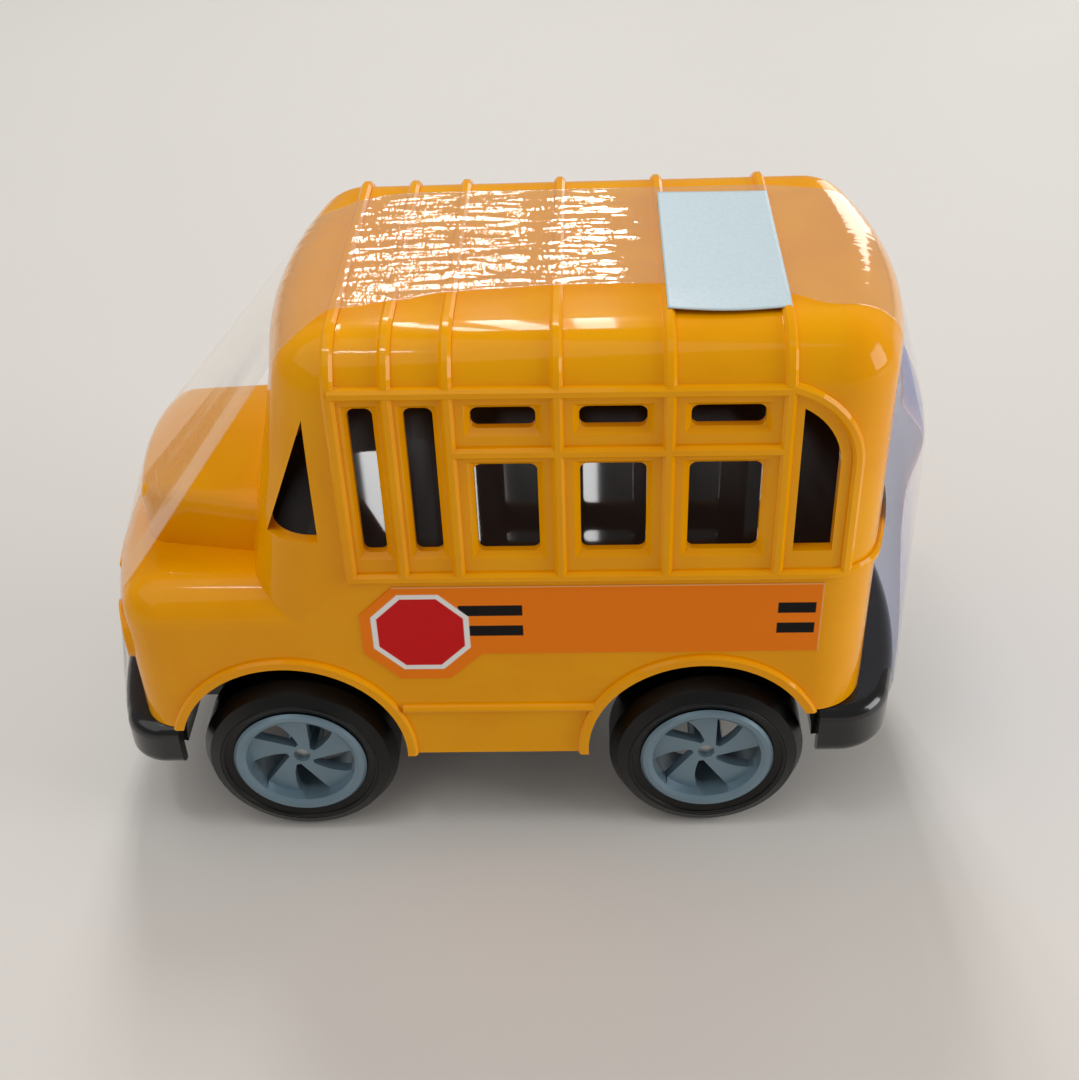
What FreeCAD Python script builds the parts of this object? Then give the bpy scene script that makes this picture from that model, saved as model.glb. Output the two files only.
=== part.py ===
import FreeCAD, Part
import math
import os
import re
import Sketcher

# School bus, a small plastic toy.
# Millimetres. +X is the nose, +Y the bus's left side, +Z up.
# The origin lies on the floor, under the middle of the bus.

doc = FreeCAD.newDocument("SchoolBus")

# Driving sizes, one named cell each
SIZES = {
    # Moulded body
    "body_front": 45.6,
    "body_rear": 44.5,
    "shell_half": 21.9,
    "wall": 1.4,
    "bow_radius": 60.0,
    "roof_height": 68.0,
    "roof_slope": 1.3,
    "sill_height": 13.7,
    "hem_step": 4.6,
    "rear_hem_step": 6.4,
    # Cab front
    "screen_bow": 70.0,
    "screen_rake": 12.0,
    "screen_post": 2.2,
    # Hood
    "hood_crown_rise": 2.8,
    "hood_radius": 2.2,
    "nose_radius": 3.2,
    # Raised ribs and rails
    "rib_width": 1.3,
    "rib_proud": 0.6,
    "rib_bevel": 0.35,
    "reveal": 0.6,
    # Window openings
    "pane_round": 0.8,
    "post_margin": 1.55,
    "slim_margin": 0.9,
    "rear_pane_gap": 3.0,
    # Wheel arches and sill
    "rear_arch_shift": 0.9,
    "arch_room": 1.6,
    "arch_rise": 2.7,
    "lip_width": 1.2,
    "sill_bead": 0.6,
    # Wheels
    "tyre_radius": 11.7,
    "tyre_width": 8.4,
    "tyre_shoulder": 1.6,
    "tyre_crown": 0.9,
    "tyre_bead": 0.6,
    "sidewall_arc": 4.8,
    "wheel_inset": 0.2,
    "rim_radius": 8.0,
    "rim_seat": 0.3,
    "rim_lip": 0.35,
    "barrel_wall": 1.1,
    "dish_depth": 1.5,
    "spoke_thick": 1.3,
    "boss_radius": 2.1,
    "boss_length": 4.0,
    "axle_radius": 1.0,
    "axle_play": 0.06,
    # Black base
    "base_play": 0.3,
    "base_wall": 1.3,
    "deck_drop": 1.0,
    "floor_step": 0.7,
    "well_room": 1.1,
    "saddle_width": 3.0,
    "saddle_drop": 2.1,
    "bumper_reach": 2.8,
    "rear_bumper_reach": 3.9,
    "bumper_lap": 0.3,
    "bumper_round": 1.7,
    "hem_gap": 0.1,
    "front_bumper_drop": 1.7,
    "rear_bumper_drop": 0.8,
    "front_bumper_corner": 4.8,
    "rear_bumper_corner": 6.5,
    # Head lamps and grille
    "lamp_radius": 3.4,
    "lamp_proud": 0.7,
    "grille_bar": 0.9,
    "grille_pitch": 2.0,
    # Stickers, label and tag
    "sticker_thick": 0.12,
    "sticker_gap": 0.02,
    "label_gap": 0.05,
    "tag_thick": 0.2,
    "tag_gap": 0.08,
    # Clear film
    "film_thick": 0.12,
    "film_gap": 0.05,
    # One overrun serves all cuts
    "overrun": 4.0,
}

# Shares of the body's length ahead of the middle, then behind it
FRONT_SHARES = {
    "front_axle": 0.546,
    "fender_back": 0.175,
    "screen_front": 0.57,
    "quarter_front": 0.537,
    "quarter_back": 0.409,
    "nose_front": 0.913,
    "rib_one": 0.3406,
    "rib_two": 0.216,
    "rib_three": 0.0829,
    "octagon_x": 0.1886,
    "front_bumper_back": 0.8465,
}
REAR_SHARES = {
    "rib_four": 0.1622,
    "rib_five": 0.4162,
    "rib_six": 0.6849,
    "arc_across": 0.636,
    "rear_axle": 0.5416,
    "sticker_rear": 0.8067,
    "label_front": 0.4135,
    "label_rear": 0.6944,
    "rear_bumper_back": 0.8315,
}
# Shares of the half width
WIDTH_SHARES = {
    "corner_radius": 0.297,
    "fender_corner": 0.228,
    "fender_radius": 0.21,
    "screen_half": 0.662,
    "rear_pane_half": 0.485,
    "cowl_half": 0.667,
    "nose_half": 0.484,
    "label_near": 0.735,
    "label_far": 0.516,
    "tag_half": 0.594,
    "film_half": 0.6,
    "lamp_across": 0.72,
}
# Shares of the roof's height, then of the glazed band between belt and roof
HEIGHT_SHARES = {
    "belt_height": 0.5956,
    "fender_top": 0.5588,
    "hood_crease": 0.6412,
    "tag_top": 0.82,
    "lamp_height": 0.42,
}
BAND_SHARES = {
    "pane_low": 0.1127,
    "pane_high": 0.5236,
    "middle_rail": 0.5891,
    "vent_low": 0.6836,
    "vent_high": 0.7745,
    "head_rail": 0.8473,
    "arc_up": 0.5127,
    "quarter_low": 0.178,
    "quarter_high": 0.7273,
    "screen_sill": 0.235,
    "screen_head": 0.8,
}

# Sizes that follow from the ones above
FORMULAS = {}
for alias, share in FRONT_SHARES.items():
    FORMULAS[alias] = "body_front * %s" % share
for alias, share in REAR_SHARES.items():
    FORMULAS[alias] = "-body_rear * %s" % share
for alias, share in WIDTH_SHARES.items():
    FORMULAS[alias] = "shell_half * %s" % share
for alias, share in HEIGHT_SHARES.items():
    FORMULAS[alias] = "roof_height * %s" % share
for alias, share in BAND_SHARES.items():
    FORMULAS[alias] = "belt_height + (roof_height - belt_height) * %s" % share
FORMULAS.update(
    {
        "roof_radius": "min(0.92 * corner_radius; 0.22 * (roof_height - belt_height))",
        "arc_outer": "0.378 * (roof_height - belt_height)",
        "hood_crown": "hood_crease + hood_crown_rise",
        "front_hem": "sill_height + hem_step",
        "rear_hem": "sill_height + rear_hem_step",
        "arch_radius": "tyre_radius + arch_room",
        "arch_height": "tyre_radius + arch_rise",
        "deck_height": "fender_top - deck_drop",
        "base_floor": "sill_height + floor_step",
        "wheel_face": "shell_half - wheel_inset",
        "well_inner": "wheel_face - tyre_width - well_room",
        "saddle_low": "tyre_radius - saddle_drop",
        "bumper_half": "shell_half + bumper_lap",
        "bumper_front": "body_front + bumper_reach",
        "bumper_rear": "body_rear + rear_bumper_reach",
        "seat_radius": "rim_radius - rim_seat",
        "barrel_radius": "rim_radius - barrel_wall",
        "sticker_high": "belt_height - rib_width",
        "octagon_low": "arch_height + 0.857 * arch_radius",
        "sticker_low": "octagon_low + 0.276 * (sticker_high - octagon_low)",
        "octagon_half": "(sticker_high - octagon_low) / 2",
        "octagon_z": "sticker_high - octagon_half",
        "roof_end": "roof_height + roof_slope",
        "roof_front": "screen_front - (roof_height - screen_sill) * tan(screen_rake * 1 deg)",
        "rear_shoulder": "roof_end - roof_radius",
        "film_rear": "-body_rear - film_gap",
        "film_foot": "rear_hem - hem_gap - bumper_round",
        "film_lean": "rear_bumper_reach / (rear_shoulder - film_foot)",
        "tag_low": "film_foot + 0.7 * bumper_round",
    }
)

sheet = doc.addObject("Spreadsheet::Sheet", "Sizes")
rows = [(alias, str(size)) for alias, size in SIZES.items()]
rows += [(alias, "=" + formula) for alias, formula in FORMULAS.items()]
for row, (alias, content) in enumerate(rows, 1):
    sheet.set("A%d" % row, alias)
    sheet.set("B%d" % row, content)
    sheet.setAlias("B%d" % row, alias)
doc.recompute()

NAMES = re.compile(r"\b(" + "|".join([*SIZES, *FORMULAS]) + r")\b")


def linked(text):
    """The text of an expression, with each size's name pointing at the sheet."""
    return NAMES.sub(r"Sizes.\1", str(text))


def value(text):
    """The number that an expression in named sizes gives now."""
    found = sheet.evalExpression(linked(text))
    return float(getattr(found, "Value", found))


def bind(thing, **places):
    """Binds properties of an object to expressions in named sizes."""
    for place, text in places.items():
        thing.setExpression(place, linked(text))


X_AXIS = FreeCAD.Vector(1, 0, 0)
Y_AXIS = FreeCAD.Vector(0, 1, 0)
Z_AXIS = FreeCAD.Vector(0, 0, 1)


def put(thing, x="0", y="0", z="0"):
    """Binds where an object stands."""
    thing.setExpression("Placement.Base.x", linked(x))
    thing.setExpression("Placement.Base.y", linked(y))
    thing.setExpression("Placement.Base.z", linked(z))


def turn(thing, axis, degrees):
    """Turns an object about one axis of its own origin."""
    thing.Placement = FreeCAD.Placement(
        thing.Placement.Base, FreeCAD.Rotation(axis, degrees)
    )


def block(name, x, y, z):
    """A box between pairs of planes, each plane an expression."""
    box = doc.addObject("Part::Box", name)
    bind(box, Length="(%s) - (%s)" % (x[1], x[0]))
    bind(box, Width="(%s) - (%s)" % (y[1], y[0]))
    bind(box, Height="(%s) - (%s)" % (z[1], z[0]))
    put(box, x[0], y[0], z[0])
    return box


def mirrored_block(name, x, half, z):
    """A box that is the same to both sides of the bus."""
    return block(name, x, ("-(%s)" % half, half), z)


def rod(name, radius, length, x="0", y="0", z="0", axis=Z_AXIS):
    """A round bar that starts at a point and runs along an axis."""
    bar = doc.addObject("Part::Cylinder", name)
    bind(bar, Radius=radius, Height=length)
    if axis is Y_AXIS:
        turn(bar, X_AXIS, -90)
    elif axis is X_AXIS:
        turn(bar, Y_AXIS, 90)
    put(bar, x, y, z)
    return bar


def cross_rod(name, radius, half, x, z):
    """A round bar right across the bus."""
    return rod(name, radius, "2 * (%s)" % half, x, "-(%s)" % half, z, Y_AXIS)


def joined(name, pieces):
    """One solid out of several that touch or cross."""
    made = doc.addObject("Part::MultiFuse", name)
    made.Shapes = pieces
    made.Refine = True
    return made


def shared(name, pieces):
    """What several solids have in common."""
    made = doc.addObject("Part::MultiCommon", name)
    made.Shapes = pieces
    made.Refine = True
    return made


def without(name, base, tool):
    """A solid with another taken away."""
    made = doc.addObject("Part::Cut", name)
    made.Base = base
    made.Tool = tool
    made.Refine = True
    return made


def rounded(name, base, radius, wanted, kind="Part::Fillet"):
    """Rounds, or bevels, the edges of a solid that the test picks."""
    doc.recompute()
    made = doc.addObject(kind, name)
    made.Base = base
    size = value(radius)
    made.Edges = [
        (index, size, size)
        for index, edge in enumerate(base.Shape.Edges, 1)
        if wanted(edge)
    ]
    return made


def is_upright(edge):
    """True for an edge that climbs more than it runs."""
    low, high = edge.Vertexes[0].Point, edge.Vertexes[-1].Point
    rise = abs(high.z - low.z)
    return rise > math.hypot(high.x - low.x, high.y - low.y)


def runs_across(edge):
    """True for an edge that runs from side to side."""
    start, end = edge.Vertexes[0].Point, edge.Vertexes[-1].Point
    return abs(end.y - start.y) > max(abs(end.x - start.x), abs(end.z - start.z))


def runs_along(edge):
    """True for an edge that runs from back to front."""
    start, end = edge.Vertexes[0].Point, edge.Vertexes[-1].Point
    return abs(end.x - start.x) > max(abs(end.y - start.y), abs(end.z - start.z))


def touches_top(shape):
    """A test for the edges round a shape's highest face."""
    top = max(shape.Faces, key=lambda face: face.CenterOfMass.z)
    marks = [edge.hashCode() for edge in top.Edges]
    return lambda edge: edge.hashCode() in marks


def role_plane(body, role):
    """One of a body's own origin planes or axes."""
    for feature in body.Origin.OriginFeatures:
        if feature.Role == role:
            return feature
    raise ValueError(role)


def outline(body, name, role, corners, offset="0", closed=True):
    """A sketch, each corner given in named sizes.
    A third entry is the radius of the side that follows, below zero to bulge left."""
    sketch = body.newObject("Sketcher::SketchObject", name)
    sketch.AttachmentSupport = [(role_plane(body, role), "")]
    sketch.MapMode = "FlatFace"
    sketch.setExpression("AttachmentOffset.Base.z", linked(offset))
    points = [
        FreeCAD.Vector(value(corner[0]), value(corner[1]), 0) for corner in corners
    ]
    ends = []
    sides = len(corners) if closed else len(corners) - 1
    for index, corner in enumerate(corners[:sides]):
        start, end = points[index], points[(index + 1) % len(points)]
        side = Part.LineSegment(start, end)
        if len(corner) > 2:
            radius = value(corner[2])
            across = end - start
            square = FreeCAD.Vector(across.y, -across.x, 0).normalize()
            depth = math.sqrt(radius * radius - across.Length**2 / 4)
            bulge = math.copysign(abs(radius) - depth, radius)
            peak = (start + end) / 2 + square * bulge
            first, last = (start, end) if radius > 0 else (end, start)
            side = Part.ArcOfCircle(first, peak, last)
        sketch.addGeometry(side, False)
        placed = sketch.Geometry[index]
        straight = placed.StartPoint.distanceToPoint(start)
        crossed = placed.EndPoint.distanceToPoint(start)
        ends.append((1, 2) if straight < crossed else (2, 1))
    for index, (first, last) in enumerate(ends if closed else ends[:-1]):
        after = (index + 1) % len(ends)
        sketch.addConstraint(
            Sketcher.Constraint("Coincident", index, last, after, ends[after][0])
        )
    for index, corner in enumerate(corners):
        side, end = (index, ends[index][0]) if index < sides else (sides - 1, ends[-1][1])
        for kind, text in (("DistanceX", corner[0]), ("DistanceY", corner[1])):
            number = sketch.addConstraint(
                Sketcher.Constraint(kind, -1, 1, side, end, value(text))
            )
            sketch.setExpression("Constraints[%d]" % number, linked(text))
        if len(corner) > 2:
            radius = "abs(%s)" % corner[2]
            number = sketch.addConstraint(
                Sketcher.Constraint("Radius", index, value(radius))
            )
            sketch.setExpression("Constraints[%d]" % number, linked(radius))
    return sketch


def padded(name, role, corners, length, offset="0", midplane=False):
    """A body with one padded outline."""
    body = doc.addObject("PartDesign::Body", name)
    pad = body.newObject("PartDesign::Pad", name + "_pad")
    pad.Profile = outline(body, name + "_outline", role, corners, offset)
    pad.Midplane = midplane
    bind(pad, Length=length)
    return body


# Body forms. Each is made outside, and again some way in.


def bowed_end(name, reach, inset, low, high, forward):
    """A tall drum whose face is a bowed front or back."""
    sign = "" if forward else "-"
    drum = doc.addObject("Part::Cylinder", name)
    bind(drum, Radius="bow_radius - (%s)" % inset)
    bind(drum, Height="(%s) - (%s)" % (high, low))
    if forward:
        turn(drum, Z_AXIS, 180)
    put(drum, "%s((%s) - bow_radius)" % (sign, reach), "0", low)
    return drum


def cabin(name, inset, low):
    """The passenger part: bowed back, raked windscreen, sloped roof, round shoulders."""
    back = "-body_rear - overrun"
    walls = padded(
        name + "_walls",
        "XZ_Plane",
        [
            (back, low),
            ("body_front", low),
            ("body_front", "roof_height - (%s)" % inset),
            (back, "roof_height + roof_slope - (%s)" % inset),
        ],
        "2 * (shell_half - (%s))" % inset,
        midplane=True,
    )
    high = "roof_height + roof_slope + overrun"
    rear = bowed_end(name + "_rear", "body_rear", inset, low, high, False)
    front = doc.addObject("Part::Cylinder", name + "_front")
    bind(front, Radius="screen_bow - (%s)" % inset, Height="2 * roof_height")
    turn(front, Y_AXIS, 180 - value("screen_rake"))
    front.setExpression("Placement.Rotation.Angle", linked("180 - screen_rake"))
    put(
        front,
        "screen_front - screen_bow - (%s - screen_sill) * tan(screen_rake * 1 deg)" % high,
        "0",
        high,
    )
    form = shared(name + "_form", [walls, rear, front])
    corners = rounded(
        name + "_corners", form, "corner_radius - (%s)" % inset, is_upright
    )
    doc.recompute()
    top = touches_top(corners.Shape)
    return rounded(name, corners, "roof_radius - (%s)" % inset, top)


def fender_box(name, inset, low):
    """The low front part, with round fender tops."""
    high = "fender_top - (%s)" % inset
    walls = mirrored_block(
        name + "_walls",
        ("fender_back", "body_front + overrun"),
        "shell_half - (%s)" % inset,
        (low, high),
    )
    front = bowed_end(name + "_front", "body_front", inset, low, high, True)
    form = shared(name + "_form", [walls, front])
    ahead = value("fender_back + overrun")
    corners = rounded(
        name + "_corners",
        form,
        "fender_corner - (%s)" % inset,
        lambda edge: is_upright(edge) and edge.CenterOfMass.x > ahead,
    )
    doc.recompute()
    top = touches_top(corners.Shape)
    return rounded(
        name,
        corners,
        "fender_radius - (%s)" % inset,
        lambda edge: top(edge) and edge.CenterOfMass.x > ahead,
    )


def hood(name, inset, low):
    """The engine cover: narrower towards the nose, crowned across."""
    back = "screen_front - overrun"
    front = "nose_front + overrun"
    cowl = "cowl_half - (%s)" % inset
    nose = "nose_half - (%s)" % inset
    high = "hood_crown + overrun"
    plan = padded(
        name + "_plan",
        "XY_Plane",
        [
            (back, "-(%s)" % cowl),
            (front, "-(%s)" % nose),
            (front, nose),
            (back, cowl),
        ],
        "%s - (%s)" % (high, low),
        low,
    )
    face = bowed_end(name + "_face", "nose_front", inset, low, high, True)
    radius = "(cowl_half ^ 2 + hood_crown_rise ^ 2) / (2 * hood_crown_rise)"
    crown = rod(
        name + "_crown",
        "%s - (%s)" % (radius, inset),
        "nose_front + overrun",
        z="hood_crown - %s" % radius,
        axis=X_AXIS,
    )
    form = shared(name + "_form", [plan, face, crown])
    if value(inset) > 0:
        return form
    ahead = value("nose_front - overrun")
    corners = rounded(
        name + "_corners",
        form,
        "nose_radius",
        lambda edge: is_upright(edge) and edge.CenterOfMass.x > ahead,
    )
    doc.recompute()
    top = touches_top(corners.Shape)
    behind = value("screen_front")
    return rounded(
        name,
        corners,
        "hood_radius",
        lambda edge: top(edge) and edge.CenterOfMass.x > behind,
    )


hood_low = "fender_top - fender_radius"
shell_outside = joined(
    "shell_outside",
    [
        cabin("cabin_outside", "0", "sill_height"),
        fender_box("fender_outside", "0", "sill_height"),
        hood("hood_outside", "0", hood_low),
    ],
)
shell_inside = joined(
    "shell_inside",
    [
        cabin("cabin_inside", "wall", "sill_height - overrun"),
        fender_box("fender_inside", "wall", "sill_height - overrun"),
        hood("hood_inside", "wall", hood_low),
    ],
)

# Raised ribs: slices of a form that stands proud of the cabin
cabin_proud = cabin("cabin_proud", "-rib_proud", "sill_height")
doc.recompute()
cabin_skin = doc.getObject("cabin_outside").Shape


def stands_proud(edge):
    """True for an edge that lies on the proud form's skin."""
    reach = 0.9 * value("rib_proud")
    middle = edge.valueAt((edge.FirstParameter + edge.LastParameter) / 2)
    points = [middle] + [vertex.Point for vertex in edge.Vertexes]
    return all(cabin_skin.distToShape(Part.Vertex(point))[0] > reach for point in points)


def raised(name, band):
    """A rib or rail: where a band crosses the proud form, its crest bevelled."""
    strip = shared(name + "_strip", [cabin_proud, band])
    return rounded(name, strip, "rib_bevel", stands_proud, "Part::Chamfer")


RIBS = ["rib_one", "rib_two", "rib_three", "rib_four", "rib_five", "rib_six"]
side_reach = "shell_half + overrun"
beads = []
for rib in RIBS:
    hoop = mirrored_block(
        rib + "_band",
        ("%s - rib_width / 2" % rib, "%s + rib_width / 2" % rib),
        side_reach,
        ("belt_height", "roof_height + roof_slope + overrun"),
    )
    beads.append(raised(rib + "_hoop", hoop))

for rail, front in (("head_rail", "rib_one"), ("middle_rail", "rib_three")):
    bar = mirrored_block(
        rail + "_bar",
        ("rib_six", front),
        "shell_half + rib_proud",
        ("%s - rib_width / 2" % rail, "%s + rib_width / 2" % rail),
    )
    beads.append(rounded(rail + "_bead", bar, "rib_bevel", runs_along, "Part::Chamfer"))
belt_band = mirrored_block(
    "belt_band",
    ("-body_rear - overrun", "rib_one + rib_width / 2"),
    side_reach,
    ("belt_height - rib_width / 2", "belt_height + rib_width / 2"),
)
beads.append(raised("belt_bead", belt_band))

# The rear window's arched rib
arc_ring = without(
    "arc_ring",
    cross_rod("arc_disc", "arc_outer", side_reach, "arc_across", "arc_up"),
    cross_rod(
        "arc_hole", "arc_outer - rib_width", "shell_half + 2 * overrun", "arc_across", "arc_up"
    ),
)
arc_back = "arc_across - arc_outer"
arc_corner = mirrored_block(
    "arc_corner",
    ("%s - overrun" % arc_back, "rib_six"),
    side_reach,
    ("arc_up", "arc_up + arc_outer + overrun"),
)
arc_leg = mirrored_block(
    "arc_leg", (arc_back, "%s + rib_width" % arc_back), side_reach, ("belt_height", "arc_up")
)
arc_band = joined("arc_band", [shared("arc_quarter", [arc_ring, arc_corner]), arc_leg])
beads.append(raised("arc_bead", arc_band))

# Lips of the wheel arches, and the bead along each sill
ARCHES = [
    ("front", "front_axle"),
    ("rear", "rear_axle + rear_arch_shift"),
]
lip_reach = "(shell_half + rib_proud / 2)"
for end, across in ARCHES:
    beads.append(
        cross_rod(end + "_lip", "arch_radius + lip_width", lip_reach, across, "arch_height")
    )
    for side, sign, tilt in (("left", "", -90), ("right", "-", 90)):
        bevel = doc.addObject("Part::Cone", "%s_%s_lip_bevel" % (end, side))
        bind(bevel, Radius1="arch_radius + lip_width")
        bind(bevel, Radius2="arch_radius + lip_width - rib_proud / 2")
        bind(bevel, Height="rib_proud / 2")
        turn(bevel, X_AXIS, tilt)
        put(bevel, across, sign + lip_reach, "arch_height")
        beads.append(bevel)
for side, sign in (("left", ""), ("right", "-")):
    beads.append(
        rod(
            "sill_bead_" + side,
            "sill_bead",
            "front_axle - rear_axle - 2 * arch_radius",
            "rear_axle + arch_radius",
            sign + "shell_half",
            "arch_height + arch_radius / 2",
            X_AXIS,
        )
    )

# Head lamps and grille bars, moulded with the front
for side, sign in (("left", ""), ("right", "-")):
    beads.append(
        shared(
            "lamp_" + side,
            [
                bowed_end(
                    "lamp_%s_face" % side,
                    "body_front + lamp_proud",
                    "0",
                    "front_hem",
                    "fender_top",
                    True,
                ),
                rod(
                    "lamp_%s_bar" % side,
                    "lamp_radius",
                    "body_front + overrun - nose_front + 2 * overrun",
                    "nose_front - 2 * overrun",
                    sign + "lamp_across",
                    "lamp_height",
                    X_AXIS,
                ),
            ],
        )
    )
for step in range(-2, 3):
    low = "lamp_height + %d * grille_pitch - grille_bar / 2" % step
    bar = mirrored_block(
        "grille_%d_bar" % (step + 3),
        ("nose_front - overrun", "body_front + overrun"),
        "nose_half - rib_width",
        (low, "%s + grille_bar" % low),
    )
    face = bowed_end(
        "grille_%d_face" % (step + 3),
        "body_front + rib_proud",
        "0",
        "front_hem",
        "fender_top",
        True,
    )
    beads.append(shared("grille_%d" % (step + 3), [bar, face]))

shell_raised = joined("shell_raised", [shell_outside] + beads)
shell_hollow = without("shell_hollow", shell_raised, shell_inside)

# Openings through the shell
cuts = []


def window(name, x, z):
    """A window through both sides, round at its corners, with a sloped reveal."""
    hole = rounded(
        name,
        mirrored_block(name + "_block", x, side_reach, z),
        "pane_round",
        runs_across,
    )
    cuts.append(hole)
    for side, tilt in (("left", 0), ("right", 180)):
        slope = doc.addObject("Part::Wedge", "%s_%s_slope" % (name, side))
        inner, outer = "0", "2 * reveal"
        bind(slope, Ymin=inner, Ymax=outer)
        first, last = ("0", "(%s) - (%s)" % (x[1], x[0]))
        if tilt:
            first, last = "-(%s)" % last, "0"
        bind(slope, Xmin=first, Xmax=last)
        bind(slope, X2min="%s - %s" % (first, outer), X2max="%s + %s" % (last, outer))
        tall = "(%s) - (%s)" % (z[1], z[0])
        bind(slope, Zmin="0", Zmax=tall)
        bind(slope, Z2min="-" + outer, Z2max="%s + %s" % (tall, outer))
        turn(slope, Z_AXIS, tilt)
        sign = "-" if tilt else ""
        put(slope, x[0], "%s(shell_half - reveal)" % sign, z[0])
        cuts.append(slope)


slim = "(rib_width / 2 + slim_margin)"
wide = "(rib_width / 2 + post_margin)"
for front, back in ((0, 1), (1, 2)):
    window(
        "slim_window_%d" % front,
        ("%s + %s" % (RIBS[back], slim), "%s - %s" % (RIBS[front], slim)),
        ("pane_low", "vent_high"),
    )
for front, back in ((2, 3), (3, 4), (4, 5)):
    across = ("%s + %s" % (RIBS[back], wide), "%s - %s" % (RIBS[front], wide))
    window("pane_%d" % front, across, ("pane_low", "pane_high"))
    window("vent_%d" % front, across, ("vent_low", "vent_high"))

round_back = "arc_outer - rib_width - slim_margin - reveal / 2"
quarter_front = "rib_six - %s" % slim
quarter_disc = cross_rod("quarter_disc", round_back, side_reach, "arc_across", "arc_up")
quarter_box = mirrored_block(
    "quarter_box", (arc_back, quarter_front), side_reach, ("arc_up", "arc_up + arc_outer")
)
quarter_leg = mirrored_block(
    "quarter_leg",
    ("arc_across - (%s)" % round_back, quarter_front),
    side_reach,
    ("pane_low", "arc_up"),
)
quarter_arch = shared("quarter_arch", [quarter_disc, quarter_box])
cuts.append(joined("quarter_window", [quarter_arch, quarter_leg]))

for end, across in ARCHES:
    cuts.append(cross_rod(end + "_arch", "arch_radius", side_reach, across, "arch_height"))
below = "sill_height - overrun - arch_radius"
for name, back, front, high in (
    ("front_hem_cut", "front_axle", "body_front + overrun", "front_hem"),
    ("rear_hem_cut", "-body_rear - overrun", "rear_axle + rear_arch_shift", "rear_hem"),
    ("sill_cut", "-body_rear - overrun", "body_front + overrun", "sill_height"),
):
    cuts.append(mirrored_block(name, (back, front), side_reach, (below, high)))


def end_pane(name, x, y, z):
    """A window through the front or back, round at its corners."""
    return rounded(name, block(name + "_block", x, y, z), "pane_round", runs_along)


# Windscreen in two halves, the corner window beside each, two windows in the back
for side, low, high in (
    ("left", "screen_post / 2", "screen_half"),
    ("right", "-screen_half", "-screen_post / 2"),
):
    span = ("screen_front - 4 * overrun", "screen_front + overrun")
    cuts.append(end_pane("screen_" + side, span, (low, high), ("screen_sill", "screen_head")))
for side, low, high in (
    ("left", "rear_pane_gap / 2", "rear_pane_half"),
    ("right", "-rear_pane_half", "-rear_pane_gap / 2"),
):
    span = ("-body_rear - overrun", "-body_rear + 2 * overrun")
    cuts.append(end_pane("rear_pane_" + side, span, (low, high), ("pane_low", "pane_high")))
cuts.append(
    padded(
        "corner_window",
        "XZ_Plane",
        [
            ("quarter_front", "quarter_low"),
            ("quarter_back", "quarter_high"),
            ("quarter_back", "quarter_low"),
        ],
        "2 * (%s)" % side_reach,
        midplane=True,
    )
)
body_shell = without("body_shell", shell_hollow, joined("openings", cuts))

# Black base: a tray with its deck, wheel housings and axle saddles
outer_inset = "wall + base_play"
inner_inset = "wall + base_play + base_wall"
forms = {}
for name, inset, low, high in (
    ("base_outside", outer_inset, "base_floor", "deck_height"),
    ("base_inside", inner_inset, "base_floor - overrun", "deck_height - base_wall"),
):
    cap = mirrored_block(name + "_cap", ("-body_rear", "body_front"), side_reach, (low, high))
    whole = joined(
        name + "_whole",
        [cabin(name + "_cabin", inset, low), fender_box(name + "_fender", inset, low)],
    )
    forms[name] = shared(name, [whole, cap])


def wells(name, extra, inner):
    """The four wheel wells, or with extra thickness, their housings."""
    made = []
    radius = "arch_radius + (%s)" % extra
    for end, across in ARCHES:
        for side, low, high in (
            ("left", inner, side_reach),
            ("right", "-(%s)" % side_reach, "-(%s)" % inner),
        ):
            piece = "%s_%s_%s" % (name, end, side)
            span = "(%s) - (%s)" % (high, low)
            made.append(
                rod(piece + "_drum", radius, span, across, low, "arch_height", Y_AXIS)
            )
            made.append(
                block(
                    piece + "_mouth",
                    ("%s - (%s)" % (across, radius), "%s + %s" % (across, radius)),
                    (low, high),
                    ("base_floor - overrun", "arch_height"),
                )
            )
    return joined(name, made)


base_tray = without("base_tray", forms["base_outside"], forms["base_inside"])
housings = shared(
    "housings",
    [forms["base_outside"], wells("housing_blanks", "base_wall", "well_inner - base_wall")],
)
base_body = without(
    "base_body",
    joined("base_housed", [base_tray, housings]),
    wells("wheel_wells", "0", "well_inner"),
)


def bumper(name, inset, reach, back, low, high, corner, forward):
    """A bowed bumper form with round corners."""
    sign = "" if forward else "-"
    ends = ("%s" % back, "%s(%s + overrun)" % (sign, reach))
    walls = mirrored_block(
        name + "_walls",
        ends if forward else (ends[1], ends[0]),
        "bumper_half - (%s)" % inset,
        (low, high),
    )
    face = bowed_end(name + "_face", "%s - (%s)" % (reach, inset), "0", low, high, forward)
    form = shared(name + "_form", [walls, face])
    beyond = abs(value(back)) + value("base_play")
    return rounded(
        name,
        form,
        "%s - (%s)" % (corner, inset),
        lambda edge: is_upright(edge) and abs(edge.CenterOfMass.x) > beyond,
    )


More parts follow.
